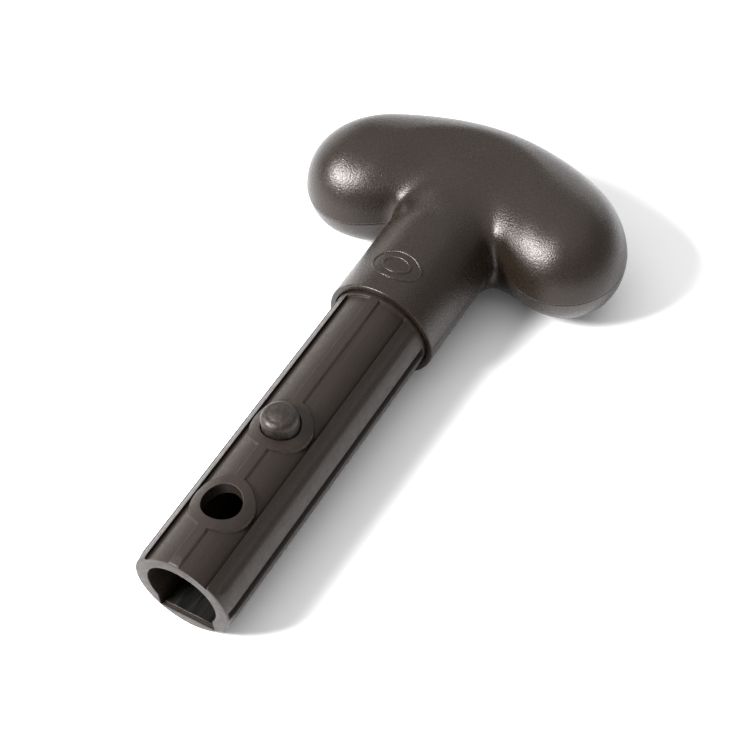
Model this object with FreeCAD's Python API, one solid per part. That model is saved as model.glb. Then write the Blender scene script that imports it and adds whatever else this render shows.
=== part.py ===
"""T-shaped palm grip on a plug-in ferrule with a sprung snap button.

Frame, in millimetres: the origin is on the ferrule's axis at the collar's end face, where the
end of the shaft it plugs into comes to rest. The ferrule runs along -Y, the grip is on +Y,
X runs across the grip and +Z is the side that the button stands on.
"""
import FreeCAD, Part
import math
import os

from FreeCAD import Vector

OUT = "parts"

# Ferrule: a moulded tube that plugs into the shaft
FERRULE_R = 14.0          # outside radius, fits a shaft of 28 mm bore
FERRULE_OUT = 95.0        # length that stands out of the collar
FERRULE_IN = 50.0         # length held inside the grip
INNER_R = 13.7            # outside radius of the stretch inside the grip
BORE_R = 10.05
LEAD_IN = 2.8             # tapered first stretch at the open end
LEAD_DROP = 0.35          # how far the taper comes in at the tip
RECESS = 1.25             # depth of the panels moulded into the outside
PANEL_ANGLES = (6.0, 40.0)       # upper recessed panel, degrees from +Z
SHOULDER_ANGLES = (40.0, 58.0)   # strip a little below full diameter
SHOULDER_DROP = 0.15
SIDE_ANGLES = (84.0, 95.0)       # groove along each side
PANEL_END = 1.2           # full-diameter ring left beside the collar
CHANNEL_HALF = 8.2        # flat-floored channel for the leaf spring
CHANNEL_FLOOR = 10.4      # distance of that floor below the axis
CHANNEL_TOP = 4.0
CHANNEL_END = -20.0       # where the channel stops, in Y

# Snap button, its hole and the spare hole
BUTTON_Y = -47.4
SPARE_Y = -74.2
HOLE_R = 5.3
PAD_R = 8.3               # raised round pad around each hole
BUTTON_R = 4.95
BUTTON_TOP = 18.6         # crest of its domed end above the axis
BUTTON_ROUND = 1.6        # rounding of its upper edge
DOME = 0.5

# Leaf spring: one strip bent into a long narrow V
LEAF_T = 0.8
LEAF_GAP = 0.05           # room left between the strip and what it touches
LOWER_HALF = 7.4          # half width of the leg on the channel floor
UPPER_HALF = 4.8          # half width of the leg that carries the button
LEAF_TIP = -94.0          # tip of the lower leg
LEAF_BEND_Y = -26.0       # centre of the bend between the legs
LEAF_BEND_R = 3.0         # radius of the bend, to the middle of the strip
LEAF_SEAT_Z = 7.6         # middle of the strip under the button
LEAF_SEAT_HALF = 5.4      # half length of the flat under the button
LEAF_SHRINK = 12.0        # length of the taper from the wide leg to the narrow one

# Rivet that holds the button on the strip
RIVET_R = 1.5
RIVET_HEAD_R = 3.2
RIVET_HEAD_T = 0.9
RIVET_DEPTH = 4.0         # how far its shank goes into the button

# Grip
NECK_R = 16.0             # collar and neck, the shaft's outside radius
NECK_WALL_GAP = 0.05      # the ferrule's fit inside the neck
MOUTH_GAP = 0.25          # wider mouth of the neck around the ferrule
MOUTH_DEPTH = 1.5
LOBE_X = 32.0             # centres of the two round lobes
LOBE_Y = 45.7
LOBE_R = 17.0
BACK_HALF = 31.0          # the back is half an ellipse this deep
CROTCH_RISE = 16.0        # how far the front line lies back at the middle
CROTCH_FILLET = 2.5       # where the neck runs into the crossbar
WALL = 3.0
NECK_END = 58.0           # the neck's form runs this far into the crossbar
COLLAR_ROUND = 0.5
STATIONS = 24             # sections along the crossbar
SECTION_POINTS = 24
GRIP_HALF = LOBE_X + LOBE_R

# Inside the grip
PIN_R = 2.5               # cross pin through ferrule and saddles
PIN_Y = 40.0
PIN_HALF = 21.5
SADDLE_X = (15.6, 22.0)
SADDLE_HALF_Y = 4.5
PEG_PLACES = ((-36.0, 44.0), (36.0, 44.0), (-15.0, 66.0), (15.0, 66.0))
PEG_R = 1.6
PEG_LONG = 3.5
POST_R = 3.6
PIN_GAP = 0.03            # fit of the pin and the pegs
BUNG_Y = (4.0, 16.0)      # bung in the ferrule's bore
BUNG_GAP = 0.05

FAR = 200.0               # longer than anything in the part
TOUCH = 0.05              # two points this close count as one


def along_y(radius, y_low, y_high):
    """Round bar on the ferrule's axis."""
    return Part.makeCylinder(radius, y_high - y_low, Vector(0, y_low, 0), Vector(0, 1, 0))


def along_z(radius, x, y, z_low, z_high):
    """Upright round bar."""
    return Part.makeCylinder(radius, z_high - z_low, Vector(x, y, z_low), Vector(0, 0, 1))


def block(low, high):
    """Box between two corners."""
    size = [b - a for a, b in zip(low, high)]
    return Part.makeBox(size[0], size[1], size[2], Vector(*low))


def around(radius, degrees):
    """Point of a circle round the Y axis, the angle counted from +Z towards +X."""
    turn = math.radians(degrees)
    return Vector(radius * math.sin(turn), 0, radius * math.cos(turn))


def sector(inner, outer, angles, y_low, y_high):
    """Part of a ring between two angles, along the ferrule."""
    first, last = angles
    middle = (first + last) / 2
    edges = [
        Part.Arc(around(outer, first), around(outer, middle), around(outer, last)).toShape(),
        Part.LineSegment(around(outer, last), around(inner, last)).toShape(),
        Part.Arc(around(inner, last), around(inner, middle), around(inner, first)).toShape(),
        Part.LineSegment(around(inner, first), around(outer, first)).toShape(),
    ]
    face = Part.Face(Part.Wire(edges))
    face.translate(Vector(0, y_low, 0))
    return face.extrude(Vector(0, y_high - y_low, 0))


def mirrored(angles):
    """The same pair of angles on the other side of the button's plane."""
    return (-angles[1], -angles[0])


def ferrule_blank():
    """Tube with a tapered lead-in at its open end."""
    tip = FERRULE_R - LEAD_DROP
    start = -FERRULE_OUT
    outline = [
        Vector(0, start, 0),
        Vector(0, start, tip),
        Vector(0, start + LEAD_IN, FERRULE_R),
        Vector(0, 0, FERRULE_R),
        Vector(0, 0, INNER_R),
        Vector(0, FERRULE_IN, INNER_R),
        Vector(0, FERRULE_IN, 0),
        Vector(0, start, 0),
    ]
    face = Part.Face(Part.makePolygon(outline))
    return face.revolve(Vector(0, 0, 0), Vector(0, 1, 0), 360)


def recesses():
    """Shallow panels that leave a rib, lands and the round pads standing."""
    end = -PANEL_END
    start = -FERRULE_OUT - 1
    outer = FERRULE_R + 1
    cuts = []
    for angles, depth in (
        (PANEL_ANGLES, RECESS),
        (SHOULDER_ANGLES, SHOULDER_DROP),
        (SIDE_ANGLES, RECESS),
    ):
        for pair in (angles, mirrored(angles)):
            cuts.append(sector(FERRULE_R - depth, outer, pair, start, end))
    pads = [along_z(PAD_R, 0, y, 0, FERRULE_R + 2) for y in (BUTTON_Y, SPARE_Y)]
    return [cut.cut(pads) for cut in cuts]


def channel():
    """Flat-floored channel opposite the button."""
    low = (-CHANNEL_HALF, -FERRULE_OUT - 1, -CHANNEL_FLOOR)
    return block(low, (CHANNEL_HALF, CHANNEL_END, -CHANNEL_TOP))


def ferrule():
    """Ribbed tube with the button's hole, the spare hole and the pin's hole."""
    tube = ferrule_blank()
    bore = along_y(BORE_R, -FERRULE_OUT - 1, FERRULE_IN + 1)
    holes = [along_z(HOLE_R, 0, y, 0, FERRULE_R + 2) for y in (BUTTON_Y, SPARE_Y)]
    return tube.cut(recesses() + [bore, channel(), pin_bar(PIN_R + PIN_GAP)] + holes)


def pin_bar(radius):
    """Bar across the grip where the pin lies."""
    return Part.makeCylinder(radius, 2 * PIN_HALF, Vector(-PIN_HALF, PIN_Y, 0), Vector(1, 0, 0))


def snap_button():
    """Round plunger with a gently domed, well rounded end."""
    bottom = LEAF_SEAT_Z + LEAF_T / 2 + LEAF_GAP
    edge = BUTTON_TOP - DOME
    flat = BUTTON_R - BUTTON_ROUND
    slant = BUTTON_ROUND * math.sqrt(0.5)
    centre = Vector(flat, 0, edge - BUTTON_ROUND)
    points = [
        Vector(0, 0, bottom),
        Vector(BUTTON_R, 0, bottom),
        Vector(BUTTON_R, 0, centre.z),
        Vector(flat, 0, edge),
        Vector(0, 0, BUTTON_TOP),
    ]
    corner = Vector(centre.x + slant, 0, centre.z + slant)
    dome_r = (flat ** 2 + DOME ** 2) / (2 * DOME)
    crown = Vector(flat / 2, 0, BUTTON_TOP - dome_r + math.sqrt(dome_r ** 2 - flat ** 2 / 4))
    edges = [
        Part.LineSegment(points[0], points[1]).toShape(),
        Part.LineSegment(points[1], points[2]).toShape(),
        Part.Arc(points[2], corner, points[3]).toShape(),
        Part.Arc(points[3], crown, points[4]).toShape(),
        Part.LineSegment(points[4], points[0]).toShape(),
    ]
    face = Part.Face(Part.Wire(edges))
    body = face.revolve(Vector(0, 0, 0), Vector(0, 0, 1), 360)
    body.translate(Vector(0, BUTTON_Y, 0))
    socket = along_z(RIVET_R, 0, BUTTON_Y, bottom - 1, bottom + RIVET_DEPTH)
    return body.cut(socket)


def button_rivet():
    """Shank up into the button, head under the strip."""
    head_top = LEAF_SEAT_Z - LEAF_T / 2 - LEAF_GAP
    shank_top = LEAF_SEAT_Z + LEAF_T / 2 + LEAF_GAP + RIVET_DEPTH
    head = along_z(RIVET_HEAD_R, 0, BUTTON_Y, head_top - RIVET_HEAD_T, head_top)
    shank = along_z(RIVET_R, 0, BUTTON_Y, head_top - RIVET_HEAD_T, shank_top)
    return head.fuse(shank).removeSplitter()


def in_plane(y, z):
    """Point or direction in the Y-Z plane."""
    return Vector(0, y, z)


def heading(turn):
    """Unit direction in the Y-Z plane, turned from +Y towards +Z."""
    return in_plane(math.cos(turn), math.sin(turn))


def leaf_outline():
    """Side view of the strip: lower leg, bend, rising leg and the flat under the button.

    Each side of the strip is half its thickness away from the middle line, so the strip keeps
    one thickness round the bend and up the slope.
    """
    low = -CHANNEL_FLOOR + LEAF_GAP + LEAF_T / 2
    centre = in_plane(LEAF_BEND_Y, low + LEAF_BEND_R)
    seat = in_plane(BUTTON_Y + LEAF_SEAT_HALF, LEAF_SEAT_Z)
    reach = seat - centre
    rise = math.sqrt(reach.Length ** 2 - LEAF_BEND_R ** 2)
    slope = math.atan2(reach.z, reach.y) + math.atan2(LEAF_BEND_R, rise)
    off_slope = heading(slope - math.pi / 2)
    up = in_plane(0, 1)
    mitre = (off_slope + up) / (1 + off_slope.dot(up))
    middle = (slope - math.pi) / 2
    sides = []
    for offset in (LEAF_T / 2, -LEAF_T / 2):
        radius = LEAF_BEND_R + offset
        sides.append([
            in_plane(LEAF_TIP, low - offset),
            in_plane(LEAF_BEND_Y, low - offset),
            centre + heading(middle) * radius,
            centre + off_slope * radius,
            seat + mitre * offset,
            in_plane(BUTTON_Y - LEAF_SEAT_HALF, LEAF_SEAT_Z + offset),
        ])
    return sides


def leaf_side(points):
    """Edges along one side of the strip."""
    tip, start, middle, end, seat, far = points
    return [
        Part.LineSegment(tip, start).toShape(),
        Part.Arc(start, middle, end).toShape(),
        Part.LineSegment(end, seat).toShape(),
        Part.LineSegment(seat, far).toShape(),
    ]


def leaf_spring():
    """Strip of spring steel, wide on the channel floor and narrow under the button."""
    outer, inner = leaf_outline()
    ends = [
        Part.LineSegment(outer[0], inner[0]).toShape(),
        Part.LineSegment(outer[-1], inner[-1]).toShape(),
    ]
    edges = Part.sortEdges(leaf_side(outer) + leaf_side(inner) + ends)[0]
    face = Part.Face(Part.Wire(edges))
    strip = face.extrude(Vector(2 * LOWER_HALF, 0, 0))
    strip.translate(Vector(-LOWER_HALF, 0, 0))
    hole = along_z(RIVET_R + LEAF_GAP, 0, BUTTON_Y, 0, FERRULE_R)
    return strip.common(leaf_width()).cut(hole)


def leaf_width():
    """Plan of the strip: full width low down, narrow where it rises into the round bore."""
    split = -CHANNEL_FLOOR + LEAF_T + 2 * LEAF_GAP
    wide = block((-LOWER_HALF, -FAR, -FERRULE_R), (LOWER_HALF, LEAF_BEND_Y - LEAF_SHRINK, split))
    narrow = block((-UPPER_HALF, -FAR, -FERRULE_R), (UPPER_HALF, FAR, FERRULE_R))
    start = LEAF_BEND_Y - LEAF_SHRINK
    corners = [
        Vector(-LOWER_HALF, start, 0),
        Vector(LOWER_HALF, start, 0),
        Vector(UPPER_HALF, LEAF_BEND_Y, 0),
        Vector(-UPPER_HALF, LEAF_BEND_Y, 0),
        Vector(-LOWER_HALF, start, 0),
    ]
    taper = Part.Face(Part.makePolygon(corners))
    taper.translate(Vector(0, 0, -FERRULE_R))
    return wide.fuse([narrow, taper.extrude(Vector(0, 0, FERRULE_R + split))])


def front_line(x):
    """Front edge of the crossbar on the parting plane."""
    across = abs(x)
    if across <= LOBE_X:
        rise = CROTCH_RISE * (1 + math.cos(math.pi * across / LOBE_X)) / 2
        return LOBE_Y - LOBE_R + rise
    return LOBE_Y - math.sqrt(max(0.0, LOBE_R ** 2 - (across - LOBE_X) ** 2))


def back_line(x):
    """Back edge of the crossbar: half an ellipse."""
    return LOBE_Y + BACK_HALF * math.sqrt(max(0.0, 1 - (x / GRIP_HALF) ** 2))


def half_height(x):
    """Half thickness of the crossbar: level between the lobes, round at the ends."""
    beyond = max(0.0, abs(x) - LOBE_X)
    return math.sqrt(max(0.0, LOBE_R ** 2 - beyond ** 2))


def section(x, inset):
    """Closed curve across the crossbar at x, drawn in by the wall."""
    middle = (front_line(x) + back_line(x)) / 2
    deep = (back_line(x) - front_line(x)) / 2 - inset
    high = half_height(x) - inset
    points = []
    for step in range(SECTION_POINTS):
        turn = 2 * math.pi * step / SECTION_POINTS
        points.append(Vector(x, middle + deep * math.cos(turn), high * math.sin(turn)))
    curve = Part.BSplineCurve()
    curve.interpolate(points, PeriodicFlag=True)
    return Part.Wire(curve.toShape())


def crossbar(inset):
    """Loft of the sections from one lobe's end to the other's."""
    reach = GRIP_HALF - inset
    stations = [-reach * math.cos(math.pi * step / STATIONS) for step in range(1, STATIONS)]
    return Part.makeLoft([section(x, inset) for x in stations], True, False)


def is_crotch(edge):
    """True for the edges where the neck runs into the crossbar."""
    if edge.BoundBox.YMin < MOUTH_DEPTH or edge.BoundBox.YLength > NECK_END / 2:
        return False
    return all(abs(math.hypot(p.x, p.z) - NECK_R) < TOUCH for p in edge.discretize(9))


def grip_outside():
    """Crossbar and neck as one rounded form, faired together."""
    form = crossbar(0).fuse(along_y(NECK_R, 0, NECK_END)).removeSplitter()
    form = form.makeFillet(CROTCH_FILLET, [edge for edge in form.Edges if is_crotch(edge)])
    rim = [edge for edge in form.Edges if edge.BoundBox.YMax < TOUCH]
    return form.makeFillet(COLLAR_ROUND, rim)


def posts():
    """Pillars inside the shells: round ones at the pegs, blocks that hold the pin's ends."""
    pillars = [along_z(POST_R, x, y, -LOBE_R, LOBE_R) for x, y in PEG_PLACES]
    near, far = SADDLE_X
    for low, high in ((near, far), (-far, -near)):
        corner = (low, PIN_Y - SADDLE_HALF_Y, -LOBE_R)
        pillars.append(block(corner, (high, PIN_Y + SADDLE_HALF_Y, LOBE_R)))
    inside = crossbar(WALL / 2)
    return [pillar.common(inside) for pillar in pillars]


def grip_body():
    """Both shells together: hollow crossbar, neck bored for the ferrule, posts and saddles."""
    hollow = crossbar(WALL).cut(posts())
    seat = along_y(INNER_R + NECK_WALL_GAP, -1, FERRULE_IN + NECK_WALL_GAP)
    mouth = along_y(FERRULE_R + MOUTH_GAP, -1, MOUTH_DEPTH)
    return grip_outside().cut([hollow, seat, mouth, pin_bar(PIN_R + PIN_GAP)])


def pegs(radius, length):
    """Short pegs that line the two shells up."""
    return [along_z(radius, x, y, -length, 0) for x, y in PEG_PLACES]


def grip_upper_shell():
    """Upper half, with the pegs."""
    half = grip_body().common(block((-FAR, -FAR, 0), (FAR, FAR, FAR)))
    return half.fuse(pegs(PEG_R, PEG_LONG))


def grip_lower_shell():
    """Lower half, with the pegs' sockets."""
    half = grip_body().common(block((-FAR, -FAR, -FAR), (FAR, FAR, 0)))
    return half.cut(pegs(PEG_R + PIN_GAP, PEG_LONG + PIN_GAP))


def cross_pin():
    """Dowel through the ferrule, held at both ends between the shells."""
    return pin_bar(PIN_R)


def ferrule_bung():
    """Bung that keeps water out of the hollow grip."""
    low, high = BUNG_Y
    return along_y(BORE_R - BUNG_GAP, low, high)


def only_solid(shape):
    """The shape's single closed solid."""
    solids = shape.Solids
    if len(solids) != 1:
        raise ValueError("expected one solid, found %d" % len(solids))
    return solids[0]


NODES = {
    "grip_upper_shell": grip_upper_shell,
    "grip_lower_shell": grip_lower_shell,
    "ferrule": ferrule,
    "cross_pin": cross_pin,
    "ferrule_bung": ferrule_bung,
    "leaf_spring": leaf_spring,
    "snap_button": snap_button,
    "button_rivet": button_rivet,
}


def main():
    os.makedirs(OUT, exist_ok=True)
    for name, make in NODES.items():
        solid = only_solid(make())
        print(name, round(solid.Volume, 1), "mm3, valid:", solid.isValid())
        solid.exportStep(os.path.join(OUT, name + ".step"))


if __name__ == "__main__":
    main()
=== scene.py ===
"""Looks of the T-grip handle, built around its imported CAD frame.

Shapes are worked out in millimetres in the row frame: origin on the ferrule's axis at the
collar's end face, ferrule along -Y, grip along +Y, +Z the button's side. They become metres
only when a mesh is made.
"""
import math

import bmesh
import bpy
import numpy as np
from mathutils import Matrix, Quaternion, Vector


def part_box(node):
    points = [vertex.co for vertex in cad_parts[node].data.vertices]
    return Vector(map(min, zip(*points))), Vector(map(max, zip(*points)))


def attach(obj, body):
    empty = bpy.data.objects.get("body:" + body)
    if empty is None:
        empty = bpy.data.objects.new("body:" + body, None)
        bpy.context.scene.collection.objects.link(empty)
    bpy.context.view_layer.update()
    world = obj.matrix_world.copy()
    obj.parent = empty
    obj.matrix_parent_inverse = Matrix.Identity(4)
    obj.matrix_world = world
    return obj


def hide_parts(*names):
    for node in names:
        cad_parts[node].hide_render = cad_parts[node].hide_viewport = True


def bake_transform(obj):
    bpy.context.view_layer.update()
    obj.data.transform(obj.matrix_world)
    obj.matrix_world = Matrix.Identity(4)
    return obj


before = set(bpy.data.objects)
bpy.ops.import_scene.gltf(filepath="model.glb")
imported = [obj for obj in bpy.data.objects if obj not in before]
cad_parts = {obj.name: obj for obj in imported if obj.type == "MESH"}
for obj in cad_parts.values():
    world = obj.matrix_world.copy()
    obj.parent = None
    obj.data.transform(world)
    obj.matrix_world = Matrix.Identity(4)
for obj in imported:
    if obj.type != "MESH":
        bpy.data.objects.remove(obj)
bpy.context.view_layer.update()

MM = 0.001
TINY, LEAST = 1e-6, 1e-9         # keep divisions from zero and counts from rounding up
SAME_PLACE = 1e-7                # metres: points this close are one


def cad_box(node):
    """Lowest and highest corner of a CAD node, in millimetres."""
    low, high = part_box(node)
    return np.array(low) / MM, np.array(high) / MM


# Places and sizes taken from the frame
GRIP_HIGH = cad_box("grip_upper_shell")[1]
FERRULE_LOW, FERRULE_HIGH = cad_box("ferrule")
BUTTON_LOW, BUTTON_HIGH = cad_box("snap_button")
LEAF_LOW, LEAF_HIGH = cad_box("leaf_spring")

# Grip
NECK_R = 16.0
NECK_END = 50.0                  # from here on the neck's form sinks into the crossbar
NECK_SINK = 20.0                 # the longer, the more slowly it sinks
LOBE_R = GRIP_HIGH[2]            # the lobes are as thick as the grip
LOBE_X = 32.0                    # from here outwards the crossbar rounds off into its end
LOBE_Y = 45.7                    # the lobes' middle
GRIP_HALF = LOBE_X + LOBE_R
BACK_HALF = GRIP_HIGH[1] - LOBE_Y
CROTCH_RISE = 16.0               # how far the front line lies back at the middle
CREST_RISE = 10.5                # and above and below the hollow for the fingers
HOLLOW_HIGH = 15.0               # half height of that hollow
CROTCH_SOFT = 4.6                # fillet of neck into crossbar at the parting line
CROTCH_UPPER = 5.4               # and away from it, in the upper and in the lower shell
CROTCH_LOWER = 11.5
CROTCH_LEVEL = 9.5               # this far from the parting line it has grown to that
TOP_SOFT = 14.0                  # on top the two forms only fade into each other
TOP_FROM, TOP_TO = 9.0, 16.0     # heights between which the fillet gives way to that
FULL_POWER = 2.3                 # fullness of the crossbar's front near the crotches
FULL_FROM, FULL_TO = 14.0, 34.0  # it fades out across the lobes
FRONT_BLEND = 10.0               # it comes in over this length ahead of the middle line
SEAM_HALF = 0.09                 # half the width of the fine groove between the shells
SEAM_DEEP = 0.16
RIM_HIGH = 1.5 * SEAM_HALF       # open edges below this height are a shell's rim
RIM_Z = 0.01                     # height of the meeting faces off the parting plane
SEAM_FLANGE = 1.6                # depth of the shells' meeting faces
DRAFT_BAND = 4.5                 # height of the drafted band beside the parting line
DRAFT_SLOPE = math.tan(math.radians(8.0))
DRAFT_FADE = 10.0                # the draft fades out over this length at the collar
LOWER_INSET = 0.10               # the lower shell's edge lies this far inside the upper's
COLLAR_PROFILE = (               # radius and Y, from inside the neck out to its side
    (13.78, 6.0), (13.78, 1.6), (13.84, 1.5), (14.22, 1.5), (14.28, 1.42), (14.28, 0.22),
    (14.34, 0.07), (14.48, 0.0), (15.45, 0.0), (15.66, 0.04), (15.84, 0.15), (15.96, 0.32),
    (NECK_R, 0.55),
)
SIDE_COLUMNS = 46                # columns of the grip's mesh from the neck to a lobe's end
NECK_COLUMNS = 52
NECK_ROWS = 34
BAR_ROWS = 60
RELAX_ROUNDS = 30                # rounds that even the mesh out and put it on the form
SETTLE_ROUNDS = 6                # rounds that only put it on the form
RELAX_SHARE = 0.6                # how much of the way to its neighbours' mean a point goes
RELAX_REACH = 34.0               # points beyond this X don't go there
RELAX_FADE = 12.0                # and over this length before it they go less and less
MOVE_LIMIT = 1.5                 # furthest that a point moves along an axis in a round
SLOPE_STEP = 0.01                # half the distance over which the form's gradient is taken
GRIP_MERGE = 2e-6                # metres: points of the grip's grid this close are one

# Raised mark on the neck
MARK_Y = 10.5
MARK_HALF = (7.2, 4.6)           # half length across the neck and along it
MARK_LINE = 0.42                 # half width of the raised line
MARK_HIGH = 0.28
MARK_SUNK = 0.04                 # the line's edges lie this far inside the neck
MARK_SHARES = (1.0, 0.55)        # sizes of the two ovals
MARK_POINTS = 120
MARK_SECTION = 9                 # points across the line

# Ferrule
FERRULE_R = FERRULE_HIGH[0]
TIP_Y = FERRULE_LOW[1]
INNER_END = FERRULE_HIGH[1]
INNER_R = 13.7
BORE_R = 10.05
LEAD_IN = 2.8                    # length of the taper at the tip
LEAD_DROP = 0.35
TIP_ROUND = (                    # the tip's edge: distance from the end, and inwards
    (0.0, 0.30), (0.04, 0.17), (0.13, 0.06), (0.28, 0.0),
)
RIB_DROP = 0.55                  # how far the panels lie below the rib
PANEL_DROP = 1.05                # and below full diameter at their outer edge
SHOULDER_DROP = 0.15
GROOVE_DROP = 1.25
RIB_ANGLE = 6.0
PANEL_ANGLE = 40.0
STEPS = (                        # angle from the button's side, and drop on its two sides
    (RIB_ANGLE, 0.0, RIB_DROP),
    (PANEL_ANGLE, PANEL_DROP, SHOULDER_DROP),
    (58.0, SHOULDER_DROP, 0.0),
    (84.0, 0.0, GROOVE_DROP),
    (95.0, GROOVE_DROP, 0.0),
)
UPRIGHT_FROM = 50.0              # up to this angle the steps' walls stand upright
UPRIGHT_TO = 75.0                # and from this angle on they are radial
STEP_HALF = 0.14                 # half width of a moulded step's wall
PANEL_END = 1.2                  # the panels end this far before the collar
GROOVE_FROM = 70.0               # the side grooves lie beyond this angle
GROOVE_RUN = 1.8                 # and run out over this length at the tip
CHANNEL_HALF = 8.2
CHANNEL_FLOOR = 10.4
CHANNEL_END = -20.0
SPARE_Y = -74.2
HOLE_R = 5.3
PAD_R = 8.3
PAD_SNAP = 0.45                  # points this near to a pad's edge are moved onto it
EDGE_R = 0.30                    # rounding of the moulded edges
SHARP_ANGLE = 38.0               # in degrees: steeper edges are shaded sharp

# Ferrule's mesh
FINE_STEP = 0.36                 # spacing of its lines about the pads
COARSE = 4                       # and around the rest, this many times as wide
FINE_ANGLE = 50.0                # the lines are fine up to the steps within this angle
FINE_PAST = 0.6                  # and as far as this beyond a pad
LEAD_STEP = 0.6                  # spacing of the rings on the taper
RING_STEP = 1.2                  # before each pad
BACK_STEP = 1.4                  # and from the last pad to the panels' end
CRISP = 0.06                     # rings this far on both sides of an edge keep it crisp
FULL_RINGS = (-0.2, 1.2)         # last rings of full diameter
INNER_RINGS = (1.3, 4.0)         # first rings of the narrower inner end
BORE_TURN = 0.05                 # radians between the points around the bore
FLOOR_TURN = 0.06                # and along the channel's floor
CUT_PAST = 1.0                   # the bore's form runs this far past both ends
HOLE_FROM = 2.0                  # the holes are cut from this height
HOLE_TO = FERRULE_R + 2          # up to this one
HOLE_SIDES = 96

# Snap button
BUTTON_Y = (BUTTON_LOW[1] + BUTTON_HIGH[1]) / 2
BUTTON_R = BUTTON_HIGH[0]
BUTTON_TOP = BUTTON_HIGH[2]
BUTTON_BOTTOM = BUTTON_LOW[2]
BUTTON_ROUND = 2.1
BUTTON_DOME = 0.6
BUTTON_FOOT = 0.25               # chamfer at the bottom
BUTTON_STEP = 1.0                # spacing of the rings up its side
ROUND_POINTS = 12
DOME_POINTS = 10
DOME_FROM = 0.88                 # the dome's first ring, as a share of its radius
SOCKET_R = 1.5
SOCKET_DEEP = 4.0
SOCKET_EDGE = 0.2
TURNED_SIDES = 120

# Leaf spring
LEAF_T = 0.8
LEAF_EDGE = 0.16                 # bevel of its long edges
LEAF_WIDE = LEAF_HIGH[0]
LEAF_NARROW = 4.8
LEAF_BEND_Y = -26.0
LEAF_BEND_R = 3.0
LEAF_SEAT_Z = LEAF_HIGH[2] - LEAF_T / 2
LEAF_SEAT_HALF = 5.4
LEAF_SEAT_GAP = 0.5              # the seat's points start this far inside its end
LEAF_SHRINK = 12.0               # length over which the strip narrows
LEAF_STEP = 1.0                  # spacing of the points on its flat legs
BEND_POINTS = 24
LEG_POINTS = 22
LEG_SHARE = 0.97                 # how far to the seat the sloping leg's points go
LEAF_SHARP = 50.0                # in degrees: steeper edges are shaded sharp

# Photograph's view
CAMERA_PLACE = (0.18110, -0.25849, 0.37998)
CAMERA_AZIMUTH = 35.50           # degrees, 0 looks along +Y
CAMERA_ELEVATION = 51.69
CAMERA_ROLL = -5.92
CAMERA_LENS = 87.76

# Studio
FLOOR_REACH = 3000.0
FLOOR_CLEAR = 0.05               # gap between the handle and the floor
SKY_STRENGTH = 0.57
LIGHT_AIM = (0.0, 0.03, 0.0)
SOFTBOXES = (                    # name, place, size and watts
    ("key", (-0.50, -0.54, 0.66), (0.32, 0.28), 28.0),
    ("top", (-0.10, 0.25, 1.30), (2.0, 2.0), 9.0),
    ("side", (-1.30, 0.65, 0.30), (1.0, 0.5), 3.0),
    ("back", (-0.20, 1.60, 0.35), (1.6, 0.5), 4.5),
)

# Colours of each material, at its darkest and at its lightest
GRIP_DARK, GRIP_LIGHT = (0.0062, 0.0040, 0.0024), (0.0155, 0.0105, 0.0068)
FERRULE_DARK, FERRULE_LIGHT = (0.0080, 0.0050, 0.0030), (0.0130, 0.0085, 0.0055)
BUTTON_DARK, BUTTON_LIGHT = (0.006, 0.004, 0.0025), (0.018, 0.0135, 0.010)
STEEL_DARK, STEEL_LIGHT = (0.040, 0.039, 0.037), (0.085, 0.083, 0.080)
RUBBER_DARK, RUBBER_LIGHT = (0.016, 0.016, 0.016), (0.026, 0.026, 0.026)
PAPER_DARK, PAPER_LIGHT = (0.94, 0.94, 0.95), (0.96, 0.96, 0.97)
PLASTIC_SHEEN = 0.38
PLASTIC_TINT = (1.0, 0.93, 0.91, 1.0)
GRAIN = 2150.0                   # the moulded grain's turns per metre
BEVEL_SAMPLES = 6


def smooth(t):
    """0 below 0, 1 above 1, easing in between."""
    t = np.clip(t, 0.0, 1.0)
    return t * t * (3 - 2 * t)


def spread(low, high, step):
    """Evenly spaced values from low to high, no further apart than step."""
    count = max(1, math.ceil((high - low) / step - LEAST))
    return list(np.linspace(low, high, count + 1))


def grid_faces(columns, rows, wrap=False):
    """Quads of a grid whose points are numbered column by column."""
    faces = []
    for i in range(columns if wrap else columns - 1):
        here, there = i * rows, (i + 1) % columns * rows
        for j in range(rows - 1):
            faces.append((here + j, there + j, there + j + 1, here + j + 1))
    return faces


def make_piece(name, points, faces, paint):
    """Smooth-shaded mesh object from points in millimetres."""
    mesh = bpy.data.meshes.new(name)
    mesh.from_pydata([tuple(p) for p in np.asarray(points) * MM], [], faces)
    mesh.validate()
    piece = bpy.data.objects.new(name, mesh)
    bpy.context.scene.collection.objects.link(piece)
    mesh.materials.append(paint)
    mesh.polygons.foreach_set("use_smooth", [True] * len(mesh.polygons))
    return piece


def face_outwards(piece):
    """Merges coincident points and turns every face's normal to the outside."""
    form = bmesh.new()
    form.from_mesh(piece.data)
    bmesh.ops.remove_doubles(form, verts=form.verts, dist=SAME_PLACE)
    bmesh.ops.recalc_face_normals(form, faces=form.faces)
    form.to_mesh(piece.data)
    form.free()


def apply_modifiers(piece):
    """Leaves the piece's mesh as its modifiers shape it."""
    graph = bpy.context.evaluated_depsgraph_get()
    made = bpy.data.meshes.new_from_object(piece.evaluated_get(graph))
    piece.modifiers.clear()
    piece.data = made


def subdivide(piece, levels):
    """Subdivision surface, applied."""
    modifier = piece.modifiers.new("fine", "SUBSURF")
    modifier.levels = modifier.render_levels = levels
    apply_modifiers(piece)


# ---------------------------------------------------------------- grip


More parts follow.
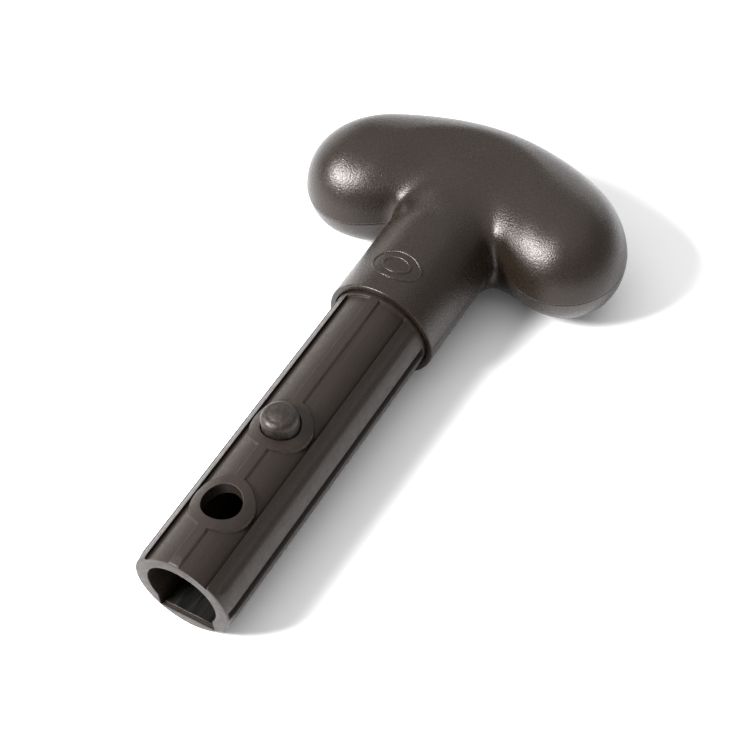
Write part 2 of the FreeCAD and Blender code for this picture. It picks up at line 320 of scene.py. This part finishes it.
def bar_lines(x, z=0.0):
    """Middle line and half depth of the crossbar at x for the height z, and its half thickness."""
    across = np.minimum(np.abs(x), GRIP_HALF - TINY)
    beyond = np.clip(across - LOBE_X, 0.0, LOBE_R)
    high = np.sqrt(LOBE_R ** 2 - beyond ** 2)
    wave = (1 + np.cos(np.pi * np.minimum(across, LOBE_X) / LOBE_X)) / 2
    hollow = 1 - smooth(np.abs(z) / HOLLOW_HIGH)
    front = LOBE_Y - high + (CREST_RISE + (CROTCH_RISE - CREST_RISE) * hollow) * wave
    back = LOBE_Y + BACK_HALF * np.sqrt(1 - (across / GRIP_HALF) ** 2)
    return (front + back) / 2, (back - front) / 2, high


def bar_power(x, forward):
    """Power of the crossbar's section: 2 is an ellipse, more is fuller, as in the crotches."""
    beside = smooth((FULL_TO - np.abs(x)) / (FULL_TO - FULL_FROM))
    ahead = smooth(-forward / FRONT_BLEND)
    return 2.0 + (FULL_POWER - 2.0) * beside * ahead


def form_distance(points, inset, crotch):
    """Signed distance, near enough, from the faired form of crossbar and neck.

    inset moves the surface inwards, and crotch is the fillet away from the parting line.
    """
    x, y, z = points[..., 0], points[..., 1], points[..., 2]
    middle, deep, high = bar_lines(x, z)
    power = bar_power(x, y - middle)
    v, w = np.abs(y - middle) / deep + TINY, np.abs(z) / high + TINY
    size = (v ** power + w ** power) ** (1 / power)
    fall = size ** (1 - power) * np.hypot(v ** (power - 1) / deep, w ** (power - 1) / high)
    bar = (size - 1) / (fall + TINY)
    neck = np.hypot(x, z) - NECK_R + np.clip(y - NECK_END, 0.0, None) ** 2 / NECK_SINK
    fillet = CROTCH_SOFT + (crotch - CROTCH_SOFT) * smooth(np.abs(z) / CROTCH_LEVEL)
    share = np.clip(0.5 + 0.5 * (bar - neck) / fillet, 0.0, 1.0)
    filleted = bar * (1 - share) + neck * share - fillet * share * (1 - share)
    share = smooth(0.5 + 0.5 * (bar - neck) / TOP_SOFT)
    faded = bar * (1 - share) + neck * share
    top = smooth((np.abs(z) - TOP_FROM) / (TOP_TO - TOP_FROM))
    joined = filleted * (1 - top) + faded * top
    band = np.clip(DRAFT_BAND - np.abs(z), 0.0, DRAFT_BAND)
    fade = smooth(y / DRAFT_FADE)
    draft = fade * band ** 2 * DRAFT_SLOPE / (2 * DRAFT_BAND)
    return joined - draft + inset * fade


def form_slope(points, inset, crotch):
    """Gradient of form_distance."""
    slopes = []
    for axis in range(3):
        move = np.zeros(3)
        move[axis] = SLOPE_STEP
        ahead = form_distance(points + move, inset, crotch)
        behind = form_distance(points - move, inset, crotch)
        slopes.append((ahead - behind) / (2 * SLOPE_STEP))
    return np.stack(slopes, axis=-1)


def onto_form(points, level, inset, crotch):
    """Points moved to the faired surface; level ones keep their height."""
    slope = form_slope(points, inset, crotch)
    slope[level, 2] = 0.0
    length = np.sum(slope ** 2, axis=-1, keepdims=True) + LEAST
    move = form_distance(points, inset, crotch)[..., None] * slope / length
    return points - np.clip(move, -MOVE_LIMIT, MOVE_LIMIT)


def grip_columns():
    """X of every column of the grip's mesh, and the angles of the columns down the neck."""
    share = (1 - np.cos(np.pi * np.arange(1, SIDE_COLUMNS + 1) / SIDE_COLUMNS)) / 2
    outer = NECK_R + (GRIP_HALF - NECK_R) * share
    angles = np.linspace(-np.pi / 2, np.pi / 2, NECK_COLUMNS + 1)
    return np.concatenate([-outer[::-1], NECK_R * np.sin(angles), outer]), angles


def grip_start():
    """Start points of the upper half in a T-shaped grid, and which of them exist."""
    xs, angles = grip_columns()
    rows = len(COLLAR_PROFILE) + NECK_ROWS + BAR_ROWS
    points = np.zeros((len(xs), rows, 3))
    exists = np.zeros((len(xs), rows), bool)
    joint_row = len(COLLAR_PROFILE) + NECK_ROWS - 1
    middle, deep, high = bar_lines(xs)
    neck_top = np.sqrt(np.clip(NECK_R ** 2 - xs ** 2, 0.0, None))
    start = np.where(np.abs(xs) < NECK_R, np.arcsin(np.clip(neck_top / high, 0.0, 1.0)), 0.0)
    for row in range(BAR_ROWS + 1):
        turn = start + (np.pi - start) * row / BAR_ROWS
        line = np.stack([xs, middle - deep * np.cos(turn), high * np.sin(turn)], axis=-1)
        points[:, joint_row + row] = line
        exists[:, joint_row + row] = True
    neck = slice(SIDE_COLUMNS, SIDE_COLUMNS + NECK_COLUMNS + 1)
    sine, cosine = np.sin(angles), np.cos(angles)
    for row, (radius, y) in enumerate(COLLAR_PROFILE):
        points[neck, row] = np.stack([radius * sine, np.full_like(sine, y), radius * cosine], -1)
    side_y = COLLAR_PROFILE[-1][1]
    for row in range(1, NECK_ROWS):
        y = side_y + (points[neck, joint_row, 1] - side_y) * row / NECK_ROWS
        points[neck, len(COLLAR_PROFILE) - 1 + row] = np.stack([NECK_R * sine, y, NECK_R * cosine], -1)
    exists[neck, :joint_row] = True
    return points, exists


def grip_outline(exists):
    """The points on the parting line."""
    level = np.zeros_like(exists)
    level[:, -1] = True
    joint_row = len(COLLAR_PROFILE) + NECK_ROWS - 1
    first, last = SIDE_COLUMNS, SIDE_COLUMNS + NECK_COLUMNS
    level[:first + 1, joint_row] = True
    level[last:, joint_row] = True
    level[first, :joint_row] = True
    level[last, :joint_row] = True
    return level


def neighbours_mean(points, exists, level):
    """Mean of each point's neighbours; a point on the parting line has only those on the line."""
    total = np.zeros_like(points)
    count = np.zeros(exists.shape + (1,))
    for axis in (0, 1):
        for shift in (1, -1):
            moved = np.roll(points, shift, axis)
            there = np.roll(exists, shift, axis)
            on_line = np.roll(level, shift, axis)
            edge = np.zeros_like(exists)
            index = [slice(None), slice(None)]
            index[axis] = 0 if shift == 1 else -1
            edge[tuple(index)] = True
            use = there & ~edge & (~level | on_line)
            total += np.where(use[..., None], moved, 0.0)
            count += use[..., None]
    return total / np.maximum(count, 1)


def grip_points(inset, crotch):
    """Points of the upper half on the faired surface, and which of them exist."""
    points, exists = grip_start()
    level = grip_outline(exists)
    fixed = ~exists
    fixed[:, :len(COLLAR_PROFILE)] = True
    points[level, 2] = 0.0
    share = smooth((RELAX_REACH - np.abs(points[..., 0])) / RELAX_FADE) * RELAX_SHARE
    for _ in range(RELAX_ROUNDS):
        mean = neighbours_mean(points, exists, level)
        moved = onto_form(points + (mean - points) * share[..., None], level, inset, crotch)
        points = np.where(fixed[..., None], points, moved)
    for _ in range(SETTLE_ROUNDS):
        points = np.where(fixed[..., None], points, onto_form(points, level, inset, crotch))
    points[level, 2] = SEAM_HALF
    points[..., 2] = np.maximum(points[..., 2], SEAM_HALF)
    return points, exists


def grip_faces(exists):
    """Quads between the points that exist, numbered as in the flattened grid."""
    rows = exists.shape[1]
    both = exists[:-1, :-1] & exists[1:, :-1] & exists[:-1, 1:] & exists[1:, 1:]
    return [
        (i * rows + j, (i + 1) * rows + j, (i + 1) * rows + j + 1, i * rows + j + 1)
        for i, j in zip(*np.nonzero(both))
    ]


def add_flange(piece, inset, crotch):
    """Rounds the shell's edge into the seam and gives it a meeting face."""
    form = bmesh.new()
    form.from_mesh(piece.data)
    loose = [v for v in form.verts if not v.link_faces]
    bmesh.ops.delete(form, geom=loose, context="VERTS")
    bmesh.ops.remove_doubles(form, verts=form.verts, dist=GRIP_MERGE)
    open_edges = [e for e in form.edges if e.is_boundary]
    rim = [e for e in open_edges if all(v.co.z < RIM_HIGH * MM for v in e.verts)]
    for deep in (SEAM_DEEP, SEAM_FLANGE):
        grown = bmesh.ops.extrude_edge_only(form, edges=rim)["geom"]
        verts = [g for g in grown if isinstance(g, bmesh.types.BMVert)]
        places = np.array([v.co for v in verts]) / MM
        inward = form_slope(places * (1, 1, 0), inset, crotch)
        inward[:, 2] = 0.0
        inward /= np.linalg.norm(inward, axis=1, keepdims=True) + LEAST
        outside = places[:, 1] > COLLAR_PROFILE[-1][1]
        for vert, place, way, out in zip(verts, places, inward, outside):
            place = place - way * deep * out
            vert.co = Vector((place[0], place[1], RIM_Z)) * MM
        rim = [g for g in grown if isinstance(g, bmesh.types.BMEdge)]
    form.to_mesh(piece.data)
    form.free()


def grip_shell(name, side, inset, crotch, paint):
    """One shell of the grip: side is 1 for the upper, -1 for the lower."""
    points, exists = grip_points(inset, crotch)
    piece = make_piece(name, points.reshape(-1, 3), grip_faces(exists), paint)
    add_flange(piece, inset, crotch)
    if side < 0:
        for vert in piece.data.vertices:
            vert.co.z *= -1
    face_outwards(piece)
    subdivide(piece, 1)
    piece.data.polygons.foreach_set("use_smooth", [True] * len(piece.data.polygons))
    return piece


def raised_line(name, plan, paint):
    """Half-round raised line on the neck, along a closed curve given across and along it."""
    points = []
    ahead, behind = np.roll(plan, -1, axis=0), np.roll(plan, 1, axis=0)
    along = ahead - behind
    along /= np.linalg.norm(along, axis=1, keepdims=True)
    for (across, y), (dx, dy) in zip(plan, along):
        for k in range(MARK_SECTION):
            turn = math.pi * k / (MARK_SECTION - 1)
            offset = MARK_LINE * math.cos(turn)
            height = MARK_HIGH * math.sin(turn) - MARK_SUNK
            angle = (across + dy * offset) / NECK_R
            radius = NECK_R + height
            points.append((radius * math.sin(angle), y - dx * offset, radius * math.cos(angle)))
    faces = grid_faces(len(plan), MARK_SECTION, wrap=True)
    piece = make_piece(name, points, faces, paint)
    face_outwards(piece)
    return piece


def neck_mark(paint):
    """Plain raised oval with a smaller one inside it."""
    turns = np.linspace(0, 2 * np.pi, MARK_POINTS, endpoint=False)
    pieces = []
    for number, share in enumerate(MARK_SHARES, start=1):
        across = MARK_HALF[0] * share * np.cos(turns)
        along = MARK_Y + MARK_HALF[1] * share * np.sin(turns)
        plan = np.stack([across, along], -1)
        pieces.append(raised_line("neck_mark_%d" % number, plan, paint))
    return pieces


# ---------------------------------------------------------------- ferrule


def drop_at(degrees):
    """Drop of the ferrule's outside below full diameter, at an angle from the button's side."""
    turned = abs(degrees)
    half = math.degrees(STEP_HALF / FERRULE_R)
    across = np.clip((turned - RIB_ANGLE) / (PANEL_ANGLE - RIB_ANGLE), 0.0, 1.0)
    drop = (PANEL_DROP - RIB_DROP) * float(across)
    for angle, before, after in STEPS:
        drop += (after - before) * float(smooth((turned - angle + half) / (2 * half)))
    return drop


def ferrule_angles():
    """Angles of the ferrule's lines of points: dense on each step, spread between them."""
    half = math.degrees(STEP_HALF / FERRULE_R)
    fine = math.degrees(FINE_STEP / FERRULE_R)
    marks = [0.0]
    low = 0.0
    for angle, _, _ in STEPS:
        step = fine if angle < FINE_ANGLE else COARSE * fine
        marks += spread(low, angle - half, step)[1:]
        marks += [angle - 0.5 * half, angle, angle + 0.5 * half, angle + half]
        low = angle + half
    marks += spread(low, 180.0, COARSE * fine)[1:]
    return np.radians([-m for m in reversed(marks[1:-1])] + marks)


def ferrule_rows():
    """Y of every ring of points, and the ring's full radius."""
    rows = []
    for along, down in TIP_ROUND:
        rows.append((TIP_Y + along, FERRULE_R - LEAD_DROP * (1 - along / LEAD_IN) - down))
    lead_end = TIP_Y + LEAD_IN
    for y in spread(TIP_Y + TIP_ROUND[-1][0], lead_end, LEAD_STEP)[1:-1]:
        rows.append((y, FERRULE_R - LEAD_DROP * (lead_end - y) / LEAD_IN))
    plain = [lead_end - CRISP, lead_end + CRISP]
    for centre in (SPARE_Y, BUTTON_Y):
        plain += spread(plain[-1], centre - PAD_R - FINE_PAST, RING_STEP)[1:]
        plain += spread(plain[-1], centre + PAD_R + FINE_PAST, FINE_STEP)[1:]
    plain += spread(plain[-1], -PANEL_END - STEP_HALF, BACK_STEP)[1:]
    plain += [-PANEL_END + STEP_HALF * share for share in (-0.5, 0.0, 0.5, 1.0)]
    plain += FULL_RINGS
    rows += [(y, FERRULE_R) for y in plain]
    rows += [(y, INNER_R) for y in (*INNER_RINGS, INNER_END / 2, INNER_END)]
    return rows


def ferrule_outside():
    """Rings of points on the outside, each step and pad edge crisp."""
    angles = ferrule_angles()
    drops = np.array([drop_at(math.degrees(a)) for a in angles])
    points = []
    for y, full in ferrule_rows():
        depth = 1 - float(smooth((y + PANEL_END + STEP_HALF) / (2 * STEP_HALF)))
        groove = depth * float(smooth((y - TIP_Y) / GROOVE_RUN))
        for angle, drop in zip(angles, drops):
            share = groove if abs(math.degrees(angle)) > GROOVE_FROM else depth
            points.append(ferrule_point(angle, drop * share, y, full))
    return np.array(points), len(angles)


def ferrule_point(angle, drop, y, full):
    """Point of the outside; beside a pad's edge it is moved onto the edge."""
    upright = (UPRIGHT_TO - abs(math.degrees(angle))) / (UPRIGHT_TO - UPRIGHT_FROM)
    radius = min(full, FERRULE_R - drop)
    x = (radius + (FERRULE_R - radius) * float(smooth(upright))) * math.sin(angle)
    if math.cos(angle) > 0:
        for centre in (SPARE_Y, BUTTON_Y):
            away = math.hypot(x, y - centre)
            if away > PAD_R + PAD_SNAP:
                continue
            if abs(away - PAD_R) < PAD_SNAP:
                place = PAD_R + (STEP_HALF if away > PAD_R else -STEP_HALF)
                x, y = x * place / away, centre + (y - centre) * place / away
            if away <= PAD_R:
                drop = 0.0
            radius = FERRULE_R - drop
    return (x, y, math.copysign(math.sqrt(max(radius ** 2 - x * x, 0.0)), math.cos(angle)))


def capped(rings, count):
    """Quads around rings of count points each, with a face on both ends."""
    total = len(rings) // count
    faces = []
    for i in range(total - 1):
        for j in range(count):
            k = (j + 1) % count
            faces.append((i * count + j, i * count + k, (i + 1) * count + k, (i + 1) * count + j))
    faces.append(tuple(range(count)))
    faces.append(tuple(range((total - 1) * count, total * count)))
    return faces


def bore_form():
    """What is taken out of the ferrule: the bore with the leaf's flat-floored channel."""
    corner = math.atan2(CHANNEL_HALF, -CHANNEL_FLOOR)
    side = math.pi - math.asin(CHANNEL_HALF / BORE_R)
    half = spread(0.0, side, BORE_TURN) + spread(side, corner, BORE_TURN)[1:]
    half += spread(corner, math.pi, FLOOR_TURN)[1:]
    angles = [-a for a in reversed(half[1:-1])] + half
    front, back = TIP_Y - CUT_PAST, INNER_END + CUT_PAST
    points = []
    for y, channel in ((front, True), (CHANNEL_END, True), (CHANNEL_END, False), (back, False)):
        for angle in angles:
            radius = BORE_R
            if channel and math.cos(angle) < 0:
                wall = CHANNEL_HALF / max(abs(math.sin(angle)), TINY)
                radius = max(BORE_R, min(wall, -CHANNEL_FLOOR / math.cos(angle)))
            points.append((radius * math.sin(angle), y, radius * math.cos(angle)))
    return points, len(angles)


def hole_form(y):
    """Upright bar through the ferrule's wall at y."""
    turns = np.linspace(0, 2 * np.pi, HOLE_SIDES, endpoint=False)
    ring = [(HOLE_R * math.cos(t), y + HOLE_R * math.sin(t)) for t in turns]
    return [(*place, z) for z in (HOLE_FROM, HOLE_TO) for place in ring], HOLE_SIDES


def take_out(piece, shape):
    """Cuts a closed form out of the piece."""
    points, count = shape
    cutter = make_piece("cutter", points, capped(points, count), piece.data.materials[0])
    face_outwards(cutter)
    modifier = piece.modifiers.new("cut", "BOOLEAN")
    modifier.operation = "DIFFERENCE"
    modifier.solver = "EXACT"
    modifier.object = cutter
    apply_modifiers(piece)
    bpy.data.objects.remove(cutter)


def ferrule_tube(paint):
    """Moulded tube with ribs, pads, holes and the leaf's channel."""
    points, count = ferrule_outside()
    piece = make_piece("ferrule_tube", points, capped(points, count), paint)
    face_outwards(piece)
    take_out(piece, bore_form())
    for y in (SPARE_Y, BUTTON_Y):
        take_out(piece, hole_form(y))
    piece.data.polygons.foreach_set("use_smooth", [True] * len(piece.data.polygons))
    piece.data.set_sharp_from_angle(angle=math.radians(SHARP_ANGLE))
    return piece


# ---------------------------------------------------------------- button and spring


def lathe(name, profile, centre, paint):
    """Turned form about an upright axis, from radii and heights."""
    turns = np.linspace(0, 2 * np.pi, TURNED_SIDES, endpoint=False)
    points = [
        (centre[0] + r * math.cos(t), centre[1] + r * math.sin(t), z) for t in turns for r, z in profile
    ]
    piece = make_piece(name, points, grid_faces(len(turns), len(profile), wrap=True), paint)
    face_outwards(piece)
    return piece


def button_cap(paint):
    """Plunger with a rounded edge and a low dome, hollow for the rivet below."""
    edge = BUTTON_TOP - BUTTON_DOME
    flat = BUTTON_R - BUTTON_ROUND
    profile = [(0.0, BUTTON_BOTTOM + SOCKET_DEEP), (SOCKET_R, BUTTON_BOTTOM + SOCKET_DEEP)]
    profile += [(SOCKET_R, BUTTON_BOTTOM + SOCKET_EDGE), (SOCKET_R + SOCKET_EDGE, BUTTON_BOTTOM)]
    profile += [(BUTTON_R - BUTTON_FOOT, BUTTON_BOTTOM), (BUTTON_R, BUTTON_BOTTOM + BUTTON_FOOT)]
    sides = spread(BUTTON_BOTTOM + BUTTON_STEP, edge - BUTTON_ROUND, BUTTON_STEP)
    profile += [(BUTTON_R, z) for z in sides]
    for turn in np.linspace(0, np.pi / 2, ROUND_POINTS)[1:]:
        rise = BUTTON_ROUND * math.sin(turn)
        profile.append((flat + BUTTON_ROUND * math.cos(turn), edge - BUTTON_ROUND + rise))
    dome_r = (flat ** 2 + BUTTON_DOME ** 2) / (2 * BUTTON_DOME)
    for share in np.linspace(DOME_FROM, 0.0, DOME_POINTS):
        r = flat * share
        profile.append((r, BUTTON_TOP - dome_r + math.sqrt(dome_r ** 2 - r ** 2)))
    return lathe("button_cap", profile, (0.0, BUTTON_Y), paint)


def leaf_line():
    """Middle line of the strip in the Y-Z plane, with the direction along it."""
    low = LEAF_LOW[2] + LEAF_T / 2
    centre = np.array([LEAF_BEND_Y, low + LEAF_BEND_R])
    seat = np.array([BUTTON_Y + LEAF_SEAT_HALF, LEAF_SEAT_Z])
    reach = seat - centre
    rise = math.sqrt(reach @ reach - LEAF_BEND_R ** 2)
    slope = math.atan2(reach[1], reach[0]) + math.atan2(LEAF_BEND_R, rise)
    line = [(y, low, 0.0) for y in spread(LEAF_LOW[1], LEAF_BEND_Y, LEAF_STEP)]
    for turn in np.linspace(0, slope, BEND_POINTS)[1:]:
        line.append((
            centre[0] + LEAF_BEND_R * math.sin(turn),
            centre[1] - LEAF_BEND_R * math.cos(turn),
            turn,
        ))
    foot = np.array(line[-1][:2])
    for share in np.linspace(0, LEG_SHARE, LEG_POINTS)[1:]:
        y, z = foot + (seat - foot) * share
        line.append((y, z, slope))
    flat = spread(BUTTON_Y - LEAF_SEAT_HALF, seat[0] - LEAF_SEAT_GAP, LEAF_STEP)
    line += [(y, LEAF_SEAT_Z, math.pi) for y in reversed(flat)]
    return line


def leaf_half(y, turn):
    """Half width of the strip: wide on the floor, narrow from the bend on."""
    if turn > 0:
        return LEAF_NARROW
    share = float(smooth((y - LEAF_BEND_Y + LEAF_SHRINK) / LEAF_SHRINK))
    return LEAF_WIDE + (LEAF_NARROW - LEAF_WIDE) * share


def leaf_strip(paint):
    """Strip of spring steel as one sheet with thickness and bevelled long edges."""
    edge, half = LEAF_EDGE, LEAF_T / 2
    points = []
    for y, z, turn in leaf_line():
        wide = leaf_half(y, turn)
        section = [
            (-wide + edge, half), (-wide / 2, half), (0.0, half), (wide / 2, half),
            (wide - edge, half), (wide, half - edge), (wide, edge - half),
            (wide - edge, -half), (wide / 2, -half), (0.0, -half), (-wide / 2, -half),
            (-wide + edge, -half), (-wide, edge - half), (-wide, half - edge),
        ]
        for x, off in section:
            points.append((x, y - off * math.sin(turn), z + off * math.cos(turn)))
    piece = make_piece("leaf_strip", points, capped(points, len(section)), paint)
    face_outwards(piece)
    piece.data.set_sharp_from_angle(angle=math.radians(LEAF_SHARP))
    return piece


# ---------------------------------------------------------------- materials


class Paint:
    """A node material with short calls for what the materials here share."""

    def __init__(self, name):
        self.material = bpy.data.materials.new(name)
        self.material.use_nodes = True
        self.tree = self.material.node_tree
        self.shader = self.tree.nodes["Principled BSDF"]
        self.place = self.tree.nodes.new("ShaderNodeTexCoord").outputs["Object"]

    def node(self, kind, **values):
        """New node with the named inputs and properties set."""
        made = self.tree.nodes.new(kind)
        for key, value in values.items():
            if hasattr(made, key):
                setattr(made, key, value)
            else:
                made.inputs[key.replace("_", " ")].default_value = value
        return made

    def join(self, out, into):
        """Links an output to an input."""
        self.tree.links.new(out, into)

    def stretched(self, scale):
        """Coordinates scaled along each axis."""
        mapping = self.node("ShaderNodeMapping", Scale=scale)
        self.join(self.place, mapping.inputs["Vector"])
        return mapping.outputs["Vector"]

    def noise(self, scale, detail=2.0, roughness=0.5, vector=None):
        """Noise of the given scale, in turns per metre."""
        made = self.node("ShaderNodeTexNoise", Scale=scale, Detail=detail, Roughness=roughness)
        self.join(vector or self.place, made.inputs["Vector"])
        return made.outputs["Fac"]

    def ramp(self, value, stops):
        """Colour ramp over value: stops are (position, grey or colour)."""
        made = self.node("ShaderNodeValToRGB")
        while len(made.color_ramp.elements) < len(stops):
            made.color_ramp.elements.new(0.5)
        for element, (position, colour) in zip(made.color_ramp.elements, stops):
            element.position = position
            element.color = (*colour, 1.0) if hasattr(colour, "__len__") else (colour,) * 3 + (1.0,)
        self.join(value, made.inputs["Fac"])
        return made.outputs["Color"]

    def bump(self, height, depth, strength=1.0, normal=None):
        """Bump of the given depth in millimetres."""
        made = self.node("ShaderNodeBump", Distance=depth * MM, Strength=strength)
        self.join(height, made.inputs["Height"])
        if normal is not None:
            self.join(normal, made.inputs["Normal"])
        return made.outputs["Normal"]

    def rounded_edges(self, radius):
        """Normals that round sharp edges off."""
        made = self.node("ShaderNodeBevel", Radius=radius * MM)
        made.samples = BEVEL_SAMPLES
        return made.outputs["Normal"]

    def finish(self, colour, roughness, normal):
        """Puts the three on the shader and gives the material back."""
        self.join(colour, self.shader.inputs["Base Color"])
        self.join(roughness, self.shader.inputs["Roughness"])
        self.join(normal, self.shader.inputs["Normal"])
        return self.material


def plastic(name):
    """Paint with the soft, slightly warm sheen that the plastics share."""
    paint = Paint(name)
    paint.shader.inputs["Specular IOR Level"].default_value = PLASTIC_SHEEN
    paint.shader.inputs["Specular Tint"].default_value = PLASTIC_TINT
    return paint


def grip_paint():
    """Dark warm satin plastic with a fine moulded grain."""
    paint = plastic("grip_satin")
    specks = paint.noise(scale=2300.0, roughness=0.6)
    colour = paint.ramp(specks, ((0.30, GRIP_DARK), (0.70, GRIP_LIGHT)))
    roughness = paint.ramp(paint.noise(scale=1900.0, roughness=0.6), ((0.30, 0.24), (0.70, 0.38)))
    grain = paint.bump(paint.noise(scale=GRAIN, roughness=0.6), depth=0.095)
    normal = paint.bump(paint.noise(scale=330.0), depth=0.020, strength=0.5, normal=grain)
    return paint.finish(colour, roughness, normal)


def ferrule_paint():
    """Dark moulded plastic, duller than the grip's, with drag lines along its length."""
    paint = plastic("ferrule_moulded")
    drag = paint.stretched((18.0, 0.9, 18.0))
    streaks = paint.noise(scale=60.0, detail=4.0, roughness=0.6, vector=drag)
    colour = paint.ramp(streaks, ((0.30, FERRULE_DARK), (0.72, FERRULE_LIGHT)))
    roughness = paint.ramp(paint.noise(scale=700.0, detail=3.0), ((0.30, 0.38), (0.72, 0.50)))
    edges = paint.rounded_edges(EDGE_R)
    grain = paint.bump(paint.noise(scale=GRAIN, roughness=0.6), depth=0.080, normal=edges)
    normal = paint.bump(streaks, depth=0.020, strength=0.5, normal=grain)
    return paint.finish(colour, roughness, normal)


def button_paint():
    """Dark plastic with a mottled, cast-looking face."""
    paint = plastic("button_cast")
    blotches = paint.noise(scale=1000.0, detail=3.0, roughness=0.65)
    colour = paint.ramp(blotches, ((0.36, BUTTON_DARK), (0.66, BUTTON_LIGHT)))
    roughness = paint.ramp(paint.noise(scale=500.0), ((0.30, 0.40), (0.72, 0.56)))
    grain = paint.bump(paint.noise(scale=2400.0, detail=3.0), depth=0.060)
    normal = paint.bump(blotches, depth=0.12, strength=0.8, normal=grain)
    return paint.finish(colour, roughness, normal)


def steel_paint():
    """Dark spring steel, brushed along its length."""
    paint = Paint("steel_rolled")
    paint.shader.inputs["Metallic"].default_value = 1.0
    brushing = paint.stretched((20.0, 0.8, 20.0))
    lines = paint.noise(scale=150.0, detail=4.0, roughness=0.65, vector=brushing)
    colour = paint.ramp(lines, ((0.25, STEEL_DARK), (0.75, STEEL_LIGHT)))
    roughness = paint.ramp(lines, ((0.30, 0.28), (0.75, 0.44)))
    normal = paint.bump(lines, depth=0.010, strength=0.7, normal=paint.rounded_edges(0.12))
    return paint.finish(colour, roughness, normal)


def rubber_paint():
    """Matte black rubber with a fine skin."""
    paint = Paint("rubber_bung")
    cloud = paint.noise(scale=300.0, detail=3.0)
    colour = paint.ramp(cloud, ((0.30, RUBBER_DARK), (0.72, RUBBER_LIGHT)))
    roughness = paint.ramp(paint.noise(scale=800.0), ((0.30, 0.70), (0.72, 0.85)))
    skin = paint.noise(scale=1300.0, detail=3.0)
    normal = paint.bump(skin, depth=0.030, strength=0.8, normal=paint.rounded_edges(0.3))
    return paint.finish(colour, roughness, normal)


def floor_paint():
    """Pale studio paper."""
    paint = Paint("studio_paper")
    cloud = paint.noise(scale=40.0, detail=3.0)
    colour = paint.ramp(cloud, ((0.30, PAPER_DARK), (0.72, PAPER_LIGHT)))
    roughness = paint.ramp(paint.noise(scale=90.0), ((0.30, 0.80), (0.72, 0.90)))
    normal = paint.bump(paint.noise(scale=800.0), depth=0.020, strength=0.3)
    return paint.finish(colour, roughness, normal)


# ---------------------------------------------------------------- stage


def add_floor():
    """Large sheet under the lobes and the ferrule's end, on which the handle lies."""
    lobe_y = float(bar_lines(np.array([LOBE_X]))[0][0])
    lead_y = TIP_Y + LEAD_IN
    fall = (LOBE_R - FERRULE_R) / (lobe_y - lead_y)
    points = []
    for right, ahead in ((-1, -1), (1, -1), (1, 1), (-1, 1)):
        x, y = right * FLOOR_REACH, ahead * FLOOR_REACH
        points.append((x, y, -LOBE_R - FLOOR_CLEAR - fall * (y - lobe_y)))
    mesh = bpy.data.meshes.new("studio_floor")
    mesh.from_pydata([tuple(p) for p in np.array(points) * MM], [], [(0, 1, 2, 3)])
    mesh.materials.append(floor_paint())
    floor = bpy.data.objects.new("studio_floor", mesh)
    bpy.context.scene.collection.objects.link(floor)


def add_softbox(name, place, size, power):
    """Rectangular area light turned to the handle."""
    data = bpy.data.lights.new(name, "AREA")
    data.shape = "RECTANGLE"
    data.size, data.size_y = size
    data.energy = power
    light = bpy.data.objects.new(name, data)
    light.location = place
    light.rotation_euler = (Vector(LIGHT_AIM) - Vector(place)).to_track_quat("-Z", "Y").to_euler()
    bpy.context.scene.collection.objects.link(light)


def add_lights():
    """White surroundings, a small key from the front left and three large soft lights."""
    world = bpy.data.worlds.new("studio")
    world.use_nodes = True
    background = world.node_tree.nodes["Background"]
    background.inputs["Color"].default_value = (1.0, 1.0, 1.0, 1.0)
    background.inputs["Strength"].default_value = SKY_STRENGTH
    bpy.context.scene.world = world
    for softbox in SOFTBOXES:
        add_softbox(*softbox)


def add_camera():
    """Camera at the photograph's viewing angle."""
    turn, lift = math.radians(CAMERA_AZIMUTH), math.radians(CAMERA_ELEVATION)
    back = Vector((math.sin(turn) * math.cos(lift), -math.cos(turn) * math.cos(lift), math.sin(lift)))
    roll = Quaternion((0, 0, 1), math.radians(CAMERA_ROLL))
    data = bpy.data.cameras.new("camera")
    data.lens = CAMERA_LENS
    camera = bpy.data.objects.new("camera", data)
    camera.location = CAMERA_PLACE
    camera.rotation_mode = "QUATERNION"
    camera.rotation_quaternion = (-back).to_track_quat("-Z", "Y") @ roll
    bpy.context.scene.collection.objects.link(camera)
    bpy.context.scene.camera = camera


def paint_cad_node(node, paint):
    """Gives a CAD node that stays its finished material."""
    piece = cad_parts[node]
    piece.data.materials.clear()
    piece.data.materials.append(paint)


def build():
    """Every piece, on its body."""
    grip, steel = grip_paint(), steel_paint()
    shells = (
        ("grip_upper_shell", 1, 0.0, CROTCH_UPPER),
        ("grip_lower_shell", -1, LOWER_INSET, CROTCH_LOWER),
    )
    for node, side, inset, crotch in shells:
        shell = grip_shell(node.replace("_shell", "_cover"), side, inset, crotch, grip)
        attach(shell, "root")
        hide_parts(node)
    for mark in neck_mark(grip):
        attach(mark, "root")
    tube = ferrule_tube(ferrule_paint())
    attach(tube, "root")
    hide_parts("ferrule")
    cap = button_cap(button_paint())
    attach(cap, "button")
    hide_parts("snap_button")
    strip = leaf_strip(steel)
    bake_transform(strip)
    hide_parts("leaf_spring")
    for node in ("button_rivet", "cross_pin"):
        paint_cad_node(node, steel)
    paint_cad_node("ferrule_bung", rubber_paint())


build()
add_floor()
add_lights()
add_camera()
bpy.context.scene.view_settings.view_transform = "Standard"
